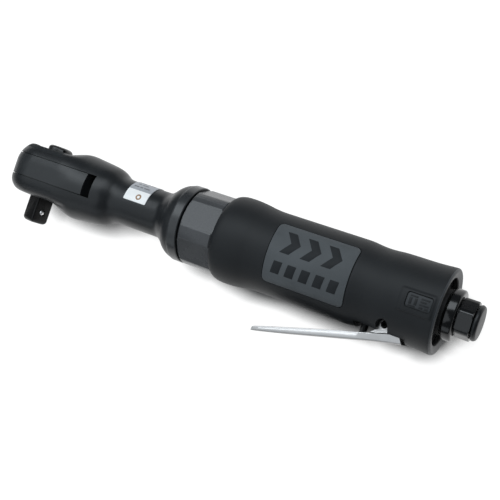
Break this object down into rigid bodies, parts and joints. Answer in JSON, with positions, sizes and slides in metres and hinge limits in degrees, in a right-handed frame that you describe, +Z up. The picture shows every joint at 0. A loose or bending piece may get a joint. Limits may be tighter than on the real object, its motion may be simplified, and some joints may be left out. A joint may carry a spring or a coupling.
{
  "type": "air ratchet",
  "caption": "Pneumatic ratchet wrench with a square drive, reversing knob, hexagonal clamp nut, rubber handle sleeve, throttle lever and plugged air inlet.",
  "frame": {"origin": "centre of the drive square's flat end face", "axes": "+X along the handle towards the air inlet, -Y out of the drive square, +Z up with the tool lying on its side"},
  "size_m": [0.2579, 0.0593, 0.0434],
  "materials": {
    "head": "satin dark grey",
    "yoke": "satin dark grey, machined",
    "oxide": "black oxide",
    "steel": "ground steel",
    "spring": "spring steel",
    "nut": "satin grey",
    "casting": "black anodised",
    "grip": "satin charcoal",
    "badge": "fine matt grey",
    "label": "silver and white film",
    "lever": "satin bright",
    "bronze": "machined",
    "vane": "laminated",
    "seal": "matt",
    "felt": "felt",
    "inlet": "gloss black",
    "plug": "matt dark grey"
  },
  "bodies": {
    "housing": {"ratchet_housing": "head", "clamp_nut": "nut", "motor_housing": "casting", "grip_sleeve": "grip", "badge_plate": "badge", "neck_label": "label", "anvil_retaining_ring": "spring", "crank_needle_bearing": "steel", "crank_ball_bearing": "steel", "ring_gear": "steel", "front_end_plate": "casting", "front_rotor_bearing": "steel", "cylinder_liner": "steel", "rear_end_plate": "casting", "rear_rotor_bearing": "steel", "cylinder_dowel": "steel", "lever_pin": "oxide", "plunger_seal": "seal", "valve_seat": "bronze", "valve_spring": "spring", "inlet_bushing": "inlet", "exhaust_collar": "inlet", "inlet_screen": "bronze", "muffler_felt": "felt", "exhaust_deflector": "plug", "inlet_seal": "seal"},
    "yoke": {"ratchet_yoke": "yoke"},
    "anvil": {"drive_anvil": "oxide", "pawl_pin": "steel", "detent_spring": "spring"},
    "detent": {"detent_ball": "steel"},
    "pawl": {"pawl": "steel"},
    "knob": {"reverse_knob": "oxide", "reverse_plunger": "steel", "reverse_spring": "spring"},
    "crank": {"crankshaft": "steel", "crank_bushing": "bronze", "planet_pin_1": "steel", "planet_pin_2": "steel", "planet_pin_3": "steel"},
    "planet_1": {"planet_gear_1": "steel"},
    "planet_2": {"planet_gear_2": "steel"},
    "planet_3": {"planet_gear_3": "steel"},
    "rotor": {"rotor": "steel", "rotor_vane_1": "vane", "rotor_vane_2": "vane", "rotor_vane_3": "vane", "rotor_vane_4": "vane", "rotor_vane_5": "vane"},
    "lever": {"throttle_lever": "lever"},
    "plunger": {"valve_plunger": "steel"},
    "valve": {"throttle_valve": "bronze"},
    "plug": {"inlet_plug": "plug"}
  },
  "joints": [
    {"name": "anvil_spin", "type": "hinge", "parent": "housing", "child": "anvil", "pos_m": [0, 0.0262, 0], "axis": [0, 1, 0], "continuous": true},
    {"name": "yoke_swing", "type": "hinge", "parent": "housing", "child": "yoke", "pos_m": [0, 0.0262, 0], "axis": [0, 1, 0], "range_deg": [-4.5, 4.5]},
    {"name": "reverse_turn", "type": "hinge", "parent": "anvil", "child": "knob", "pos_m": [0, 0.0262, 0], "axis": [0, 1, 0], "range_deg": [-25, 25]},
    {"name": "pawl_rock", "type": "hinge", "parent": "anvil", "child": "pawl", "pos_m": [0.0074, 0.0262, 0], "axis": [0, 1, 0], "range_deg": [-2.6, 2.6]},
    {"name": "detent_press", "type": "slide", "parent": "anvil", "child": "detent", "axis": [-0.9239, 0, -0.3827], "range_m": [0, 0.0007], "stiffness_N_per_m": 800, "springref_m": -0.0004},
    {"name": "rotor_spin", "type": "hinge", "parent": "housing", "child": "rotor", "pos_m": [0.13, 0.0262, 0], "axis": [1, 0, 0], "continuous": true},
    {"name": "crank_spin", "type": "hinge", "parent": "housing", "child": "crank", "pos_m": [0.07, 0.0262, 0], "axis": [1, 0, 0], "continuous": true},
    {"name": "planet_spin_1", "type": "hinge", "parent": "crank", "child": "planet_1", "pos_m": [0.0984, 0.0337, 0], "axis": [1, 0, 0], "continuous": true},
    {"name": "planet_spin_2", "type": "hinge", "parent": "crank", "child": "planet_2", "pos_m": [0.0984, 0.02245, 0.0065], "axis": [1, 0, 0], "continuous": true},
    {"name": "planet_spin_3", "type": "hinge", "parent": "crank", "child": "planet_3", "pos_m": [0.0984, 0.02245, -0.0065], "axis": [1, 0, 0], "continuous": true},
    {"name": "lever_squeeze", "type": "hinge", "parent": "housing", "child": "lever", "pos_m": [0.2006, 0.0122, 0], "axis": [0, 0, -1], "range_deg": [0, 12], "stiffness_Nm_per_rad": 0.35, "springref_deg": -20.05},
    {"name": "plunger_push", "type": "slide", "parent": "housing", "child": "plunger", "axis": [0, 1, 0], "range_m": [0, 0.00195]},
    {"name": "valve_tilt", "type": "hinge", "parent": "housing", "child": "valve", "pos_m": [0.201, 0.0202, 0], "axis": [0, 0, -1], "range_deg": [0, 10.5]},
    {"name": "plug_pull", "type": "slide", "parent": "housing", "child": "plug", "axis": [1, 0, 0], "range_m": [0, 0.03]}
  ],
  "couplings": [
    {"joint": "pawl_rock", "follows": "reverse_turn", "ratio": -0.1},
    {"joint": "crank_spin", "follows": "rotor_spin", "ratio": 0.25},
    {"joint": "planet_spin_1", "follows": "rotor_spin", "ratio": -0.75},
    {"joint": "planet_spin_2", "follows": "rotor_spin", "ratio": -0.75},
    {"joint": "planet_spin_3", "follows": "rotor_spin", "ratio": -0.75},
    {"joint": "plunger_push", "follows": "lever_squeeze", "m_per_rad": 0.0083},
    {"joint": "valve_tilt", "follows": "lever_squeeze", "ratio": 0.7545}
  ]
}
